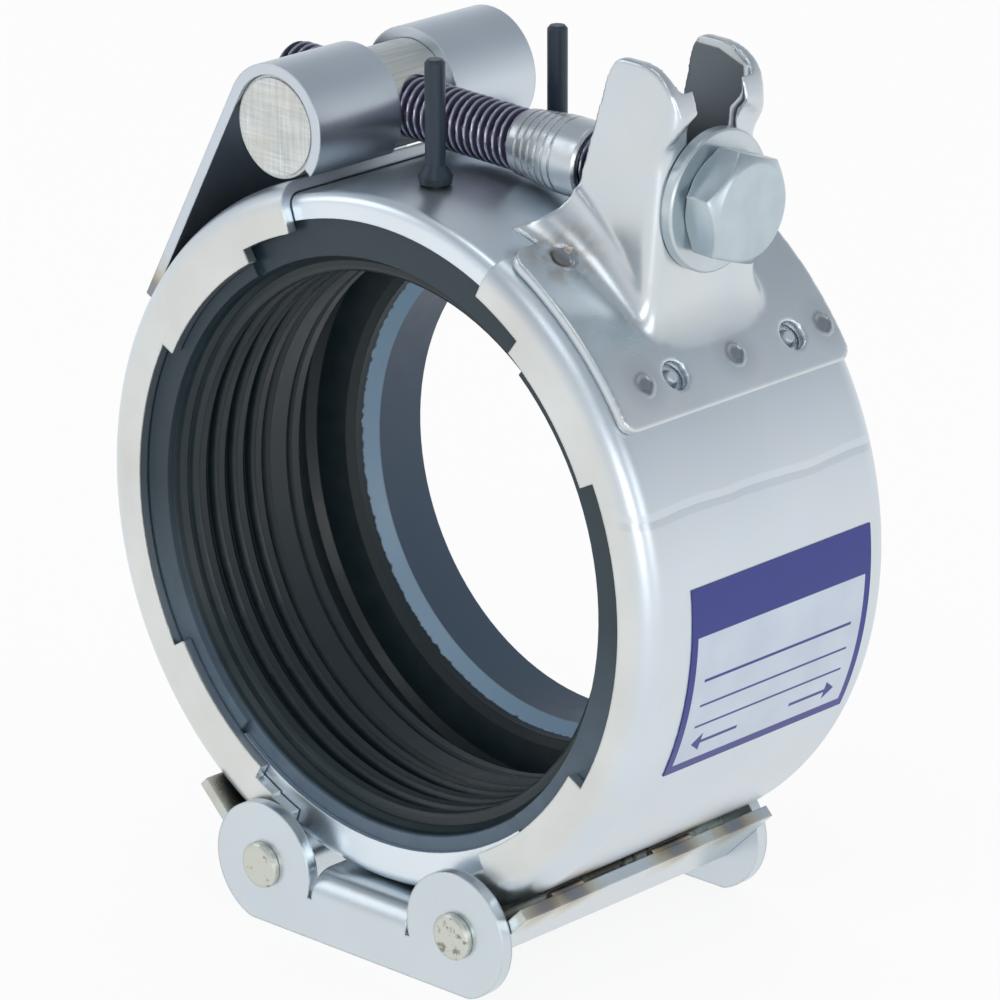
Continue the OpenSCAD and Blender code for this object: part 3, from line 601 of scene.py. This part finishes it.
# side view of the horns: up the rear edge, over the top and down to the washer
back = 0.0156
rise = float(casing_top(-0.021, casing_r))
side_view = ([[0.02, -0.07], [-wall_back, -0.07], [-wall_back, rise + 0.0005]]
             + bow([-0.023, rise + 0.001], [-back - 0.0005, rise + 0.004], [-back, 0.003], 24)
             + bow([-back + 0.0032, horn_h - 0.004], [-back + 0.004, horn_h + 0.0003],
                   [-back + 0.007, horn_h], 16)
             + bow([-0.0065, horn_h], [0.0012, horn_h - 0.0001],
                   [step_out - 0.0002, horn_h - 0.0088], 20)
             + [[0.02, horn_h - 0.009]])
slot_r = 0.0054
slot = [(slot_r * math.cos(a), slot_r * math.sin(a)) for a in np.radians(np.linspace(180, 360, 33))]
slot += [(slot_r, 0.05), (-slot_r, 0.05)]
horns = prism("horns", side_view, -0.06, 0.06, lambda u, v, w: (u, w, v))
slot_cut = prism("slot_cut", slot, 0.014, -0.012, lambda u, v, w: (w, u, v))
carve(wall, horns, "INTERSECT")
carve(wall, slot_cut, "DIFFERENCE")
wall_mesh = settle(wall)
for tool in (horns, slot_cut):
    bpy.data.objects.remove(tool)
on_lug = Matrix.Translation(lug_face) @ Matrix.Rotation(bolt_tilt, 4, "Y")
wall_mesh.transform(on_lug)


def curved_sheet(r0, r1, deg0, deg1, y0, y1, corners, steps=60):
    """Sheet bent to the casing, its corners rounded by (low end, high end) radii."""
    bm = bmesh.new()
    ys = [y0 + (y1 - y0) * j / steps for j in range(steps + 1)]
    grids = []
    for r in (r0, r1):
        grid = []
        for i in range(steps + 1):
            a = math.radians(deg0 + (deg1 - deg0) * i / steps)
            x, z = r * math.cos(a), r * math.sin(a)
            grid.append([bm.verts.new((x, y, z)) for y in ys])
        grids.append(grid)
    for i in range(steps):
        for j in range(steps):
            for s, g in enumerate(grids):
                loop = (g[i][j], g[i + 1][j], g[i + 1][j + 1], g[i][j + 1])
                bm.faces.new(loop if s else loop[::-1])
    edge = [(i, 0) for i in range(steps)] + [(steps, j) for j in range(steps)] \
        + [(i, steps) for i in range(steps, 0, -1)] + [(0, j) for j in range(steps, 0, -1)]
    for n, (i, j) in enumerate(edge):
        k, m = edge[(n + 1) % len(edge)]
        bm.faces.new((grids[0][i][j], grids[0][k][m], grids[1][k][m], grids[1][i][j]))
    # pulls the corners in to their radii
    mid_r, mid_deg, mid_y = (r0 + r1) / 2, (deg0 + deg1) / 2, (y0 + y1) / 2
    for v in bm.verts:
        deg = math.degrees(math.atan2(v.co.z, v.co.x))
        for end, rad in zip((deg0, deg1), corners):
            along = abs(deg - end) * math.pi / 180 * mid_r
            for side in (y0, y1):
                p, q = rad - abs(v.co.y - side), rad - along
                far = math.hypot(p, q)
                if min(p, q) <= 0 or far <= 1e-9:
                    continue
                scale = max(p, q) / far
                v.co.y = side + math.copysign(rad - p * scale, mid_y - side)
                into = math.degrees((rad - q * scale) / mid_r)
                a = math.radians(end + math.copysign(into, mid_deg - end))
                r = math.hypot(v.co.x, v.co.z)
                v.co.x, v.co.z = r * math.cos(a), r * math.sin(a)
    bmesh.ops.recalc_face_normals(bm, faces=bm.faces)
    return bm


foot_sheet = curved_sheet(casing_r + foot_gap, casing_r + sheet, foot_low, foot_high,
                          -lug_w / 2, lug_w / 2, corners=(0.0024, 0.0034))
foot = loose("foot", mesh_of(foot_sheet, "foot"))
# two holes for the casing's pips, and the opening under the horns
pip_y, pip_turn, pip_hole = (-0.0113, 0.0152), math.radians(53.6), 0.0023
holes = bmesh.new()
for y_hole in pip_y:
    at_pip = Matrix.Translation((0, y_hole, 0)) @ Matrix.Rotation(pip_turn, 4, "Y")
    bmesh.ops.create_cone(holes, cap_ends=True, segments=40, radius1=pip_hole, radius2=pip_hole,
                          depth=0.01, matrix=at_pip @ Matrix.Translation((0, 0, casing_r + 0.001)))
opening = Matrix.Translation((-0.0219, 0, -0.025)) @ Matrix.Diagonal((0.04, 0.0222, 0.07, 1))
bmesh.ops.create_cube(holes, size=1.0, matrix=on_lug @ opening)
hole_tool = loose("hole_tool", mesh_of(holes, "hole_tool"))
carve(foot, hole_tool, "DIFFERENCE")
foot_mesh = settle(foot)
bpy.data.objects.remove(hole_tool)
bm = bmesh.new()
bm.from_mesh(wall_mesh)
bm.from_mesh(foot_mesh)
pressing = loose("pressing", mesh_of(bm, "pressing"))
mod = pressing.modifiers.new("one skin", "REMESH")
mod.mode, mod.voxel_size = "VOXEL", 0.00034
mod = pressing.modifiers.new("soft", "SMOOTH")
mod.factor, mod.iterations = 0.5, 6
lug_mesh = settle(pressing)
# the smoothed foot must not dip into the casing
lowest_r = casing_r + 0.00006
for v in lug_mesh.vertices:
    r = math.hypot(v.co.x, v.co.z)
    if 0.05 < r < lowest_r:
        v.co.x *= lowest_r / r
        v.co.z *= lowest_r / r

foot_top = 59.9
welds = [on_ring(foot_top, 36.5, w) for w in (-18.1, 2.1, 22.3)]
burnt = on_ring(foot_top, 58.9, -17.4)
lug_mat, shader, place, (x, y, z) = finish("lug_pressed", 1.0, 0.28)
cloud = place.noise(60, 3.0)
base = cloud.colour((0.57, 0.63, 0.68), (0.70, 0.765, 0.815))
base = (place.noise(130, 2.0).past(0.55, 0.5) * 0.3).colour(base, (0.74, 0.70, 0.60))
# the drawn inside of the horns is painted dark as painted shade, and made rougher
behind = (x - lug_face.x) * cos_tilt - (z - lug_face.z) * sin_tilt
above = (x - lug_face.x) * sin_tilt + (z - lug_face.z) * cos_tilt
half = horn_foot + (above - foot_z) * ((horn_top - horn_foot) / (horn_h - foot_z))
dull_shaded_inside = ((1 - behind.past(-0.0016, 0.0004)) * above.past(-0.012, 0.004)
         * (1 - (y.op("ABSOLUTE") - half).past(-0.0015, 0.0004)))
# the painted shade stops short of the top rim of the horns
top_rim = above + (behind + 0.0065).op("MAXIMUM", 0.0) * 0.35
dull_shaded_inside = dull_shaded_inside * (1 - top_rim.past(horn_h - 0.0013, 0.0003) * 0.85)
# the dark colour on the inside of the horns is painted shade
base = dull_shaded_inside.colour(base, (0.20, 0.23, 0.25))
# spot welds: grey rings with a darker middle, and brown tint round the burnt one
dimple, halo = None, None
spots = [(w, 0.0016) for w in welds] + [(burnt, 0.0020), (on_ring(foot_top, 58.9, 17.4), 0.0020)]
for spot, size in spots:
    far = place.far_from(spot) + (place.noise(700, 2.0) - 0.5) * 0.0006
    mark = far.near(size, 0.0006) * 0.6 - (1 - far.past(size * 0.8, 0.0006)) * 0.5
    glow = (1 - far / (size * 3.2)).op("MAXIMUM", 0.0) * 0.35
    dark = (1 - far.past(size * 0.9, 0.0006)) * 0.55 + far.near(size, 0.0005) * 0.35 + glow
    dimple = mark if dimple is None else dimple + mark
    halo = dark if halo is None else halo + dark
base = halo.op("MINIMUM", 1.0).colour(base, (0.21, 0.23, 0.26))
brown = place.spot(burnt, 0.0075) * place.noise(500, 4.0).past(0.5, 0.25)
beside_it = place.spot(on_ring(foot_top, 60, -11.5), 0.0045) * place.noise(900, 3.0)
brown = brown.op("MAXIMUM", beside_it)
base = (brown * 0.9).colour(base, (0.30, 0.24, 0.17))
put(shader, "Base Color", base)
put(shader, "Roughness", 0.24 + cloud * 0.10 + dull_shaded_inside * 0.2)
relief(shader, dimple + place.noise(420, 2.0) * 0.05 + place.noise(1500, 2.0) * 0.02, 0.00022)
coat(lug_mesh, lug_mat)
lug = loose("bolt_lug_pressed", lug_mesh)
for poly in lug.data.polygons:
    poly.use_smooth = True
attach(lug, "right_half")
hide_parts("bolt_lug")

# Hinge leaves, link and pins:
# Each leaf is a strip rolled round its pin and welded to a half. The pressed channel link
# carries both pins, whose ends are peened over into low heads.
leaf_tint = [(on_ring(skin + 1.5, d, w), 0.0075)
             for d in (231, 235, 304, 308) for w in (-24, -17, 7, 20)]
leaf_mat, *_ = steel("leaf_satin", (0.62, 0.68, 0.72), 0.28, (0.3, 1.0, 0.3), edge=0.0004,
                     tints=leaf_tint)
dress("hinge_leaf_left", leaf_mat)
dress("hinge_leaf_right", leaf_mat)

link_mat, *_ = steel("link_pressed", (0.63, 0.70, 0.75), 0.30, (1, 1, 0.4), edge=0.0006, straw=0.15)
dress("hinge_link", link_mat)

pin_x, pin_z = 0.0209, -0.05636
pin_mat, shader, place, (x, y, z) = finish("pin_peened", 0.9, 0.3)
blotch = place.noise(700, 3.0)
from_pin = (x.op("ABSOLUTE") - pin_x).beside(z - pin_z)
base = blotch.past(0.62, 0.08).colour((0.62, 0.64, 0.58), (0.30, 0.28, 0.25))
put(shader, "Base Color", base)
put(shader, "Roughness", 0.28 + blotch * 0.2)
relief(shader, blotch * 0.5 + (from_pin * 5000.0).op("SINE") * 0.2, 0.00006, 0.0004)
dress("hinge_pin_left", pin_mat)
dress("hinge_pin_right", pin_mat)

# Label:
# A foil sticker on the right half: silver ground, blue border and header band, and plain blue
# rules with two direction arrows.
label_mat, shader, place, (x, y, z) = finish("label_foil", 0.25, 0.3)
# s and v run along and down the sticker in millimetres, from its top left corner
label_y, label_deg, label_r, soft = -0.0184, 5.8, 58.1, 0.12
s = (y - label_y) * 1000.0
v = (label_deg - z.op("ARCTAN2", x) * (180 / math.pi)) * (math.pi / 180 * label_r)
inside = s.within(1.3, 39.7, soft) * v.within(7.9, 30.2, soft)
ink = 1 - inside
for low, high in ((15.2, 15.7), (19.6, 20.0), (23.4, 23.8)):
    ink = ink.op("MAXIMUM", s.within(3.6, 37.4, soft) * v.within(low, high, soft))
arrow_v = 27.0
for tip, way in ((4.0, 1), (37.0, -1)):
    run = (s - tip) * way
    beyond = (v - arrow_v).op("ABSOLUTE") - run * 0.75
    point = run.within(0.0, 2.2, soft) * (1 - beyond.past(0.0, soft))
    shaft = run.within(2.0, 10.5, soft) * v.within(arrow_v - 0.3, arrow_v + 0.3, soft)
    ink = ink.op("MAXIMUM", point.op("MAXIMUM", shaft))
haze = place.noise(140, 2.0)
silver = haze.colour((0.50, 0.56, 0.66), (0.64, 0.70, 0.80))
put(shader, "Base Color", ink.op("MINIMUM", 1.0).colour(silver, (0.035, 0.045, 0.24)))
put(shader, "Roughness", 0.26 + haze * 0.16)
relief(shader, haze, 0.00002)
dress("type_label", label_mat)

# Floor, light and camera:
# A plain pale studio: white floor and surround, soft boxes, and the long lens of the picture.
floor_z, floor_glow = -0.0662, 0.88  # its height, and how white it looks directly or mirrored
bm = bmesh.new()
bmesh.ops.create_grid(bm, x_segments=1, y_segments=1, size=6,
                      matrix=Matrix.Translation((0, 0, floor_z)))
floor = loose("floor", mesh_of(bm, "floor"))
floor_mat = bpy.data.materials.new("floor_pale")
floor_mat.use_nodes = True
tree = floor_mat.node_tree
tree.nodes.clear()
rays = tree.nodes.new("ShaderNodeLightPath")
camera_ray, glossy_ray, through_ray = (
    Paint(tree, rays.outputs[n]) for n in ("Is Camera Ray", "Is Glossy Ray", "Is Transmission Ray"))
seen = (camera_ray + glossy_ray + through_ray).op("MINIMUM", 1.0)
matte = seen.make("ShaderNodeBsdfDiffuse", {}, {"Color": (0.93, 0.93, 0.93, 1)})
glow = seen.make("ShaderNodeEmission", {}, {"Color": (1, 1, 1, 1), "Strength": 1.0})
both = seen.make("ShaderNodeMixShader", {}, {0: seen * floor_glow, 1: matte, 2: glow})
end = tree.nodes.new("ShaderNodeOutputMaterial")
tree.links.new(both.socket, end.inputs["Surface"])
floor.data.materials.append(floor_mat)

world = bpy.data.worlds.new("studio")
bpy.context.scene.world = world
world.use_nodes = True
tree = world.node_tree
tree.nodes.clear()
rays = tree.nodes.new("ShaderNodeLightPath")
camera_ray, glossy_ray = (Paint(tree, rays.outputs[n]) for n in ("Is Camera Ray", "Is Glossy Ray"))
way = Paint(tree, tree.nodes.new("ShaderNodeTexCoord").outputs["Generated"])
# reflections see a sky that darkens upwards, as the ceiling of a studio does
sky_tones = [(0.0, (0.90, 0.91, 0.92)), (0.50, (0.88, 0.89, 0.90)), (0.60, (0.76, 0.78, 0.81)),
             (0.72, (0.56, 0.59, 0.63)), (0.86, (0.36, 0.39, 0.43)), (1.0, (0.50, 0.53, 0.56))]
sky = way.make("ShaderNodeValToRGB", {"stops": sky_tones}, {0: way.split()[2] * 0.5 + 0.5})
lit = glossy_ray.colour((0.74, 0.75, 0.76), sky)
shown = camera_ray.colour(lit, (1.0, 1.0, 1.0))
back_light = shown.make("ShaderNodeBackground", {}, {"Color": shown, "Strength": 1.0})
end = tree.nodes.new("ShaderNodeOutputWorld")
tree.links.new(back_light.socket, end.inputs["Surface"])


def soft_box(name, place, size, radiance):
    """Area lamp of that size in metres, turned to the coupling."""
    lamp = bpy.data.lights.new(name, "AREA")
    lamp.shape, lamp.size, lamp.size_y = "RECTANGLE", size[0], size[1]
    lamp.energy = radiance * math.pi * size[0] * size[1]
    obj = bpy.data.objects.new(name, lamp)
    bpy.context.scene.collection.objects.link(obj)
    obj.location = place
    obj.rotation_euler = (-Vector(place)).to_track_quat("-Z", "Y").to_euler()


soft_box("box_left", (-1.4, -1.0, 1.0), (0.7, 1.0), 1.2)
soft_box("box_front", (1.05, -1.1, 0.24), (0.5, 0.6), 2.9)
soft_box("box_over_lens", (0.5, -1.0, 1.3), (0.5, 0.5), 2.0)
soft_box("box_right", (1.8, -0.1, 0.5), (0.6, 0.9), 1.5)
soft_box("box_top", (-0.1, 0.1, 1.8), (0.6, 0.5), 1.8)

lens = bpy.data.cameras.new("picture_lens")
lens.sensor_width, lens.lens = 36, 212.75
lens.shift_x, lens.shift_y = 0.0086, 0.0096
lens.clip_start, lens.clip_end = 0.01, 50
view = bpy.data.objects.new("picture_camera", lens)
bpy.context.scene.collection.objects.link(view)
azimuth, elevation, roll = (math.radians(d) for d in (43.31, 19.38, -0.22))
distance = 0.9226
toward = Vector((math.cos(elevation) * math.sin(azimuth),
                 -math.cos(elevation) * math.cos(azimuth), math.sin(elevation)))
view.location = toward * distance
view.rotation_mode = "QUATERNION"
aim = (-toward).to_track_quat("-Z", "Y")
view.rotation_quaternion = aim @ Matrix.Rotation(roll, 3, "Z").to_quaternion()
bpy.context.scene.camera = view
bpy.context.scene.view_settings.view_transform = "Standard"
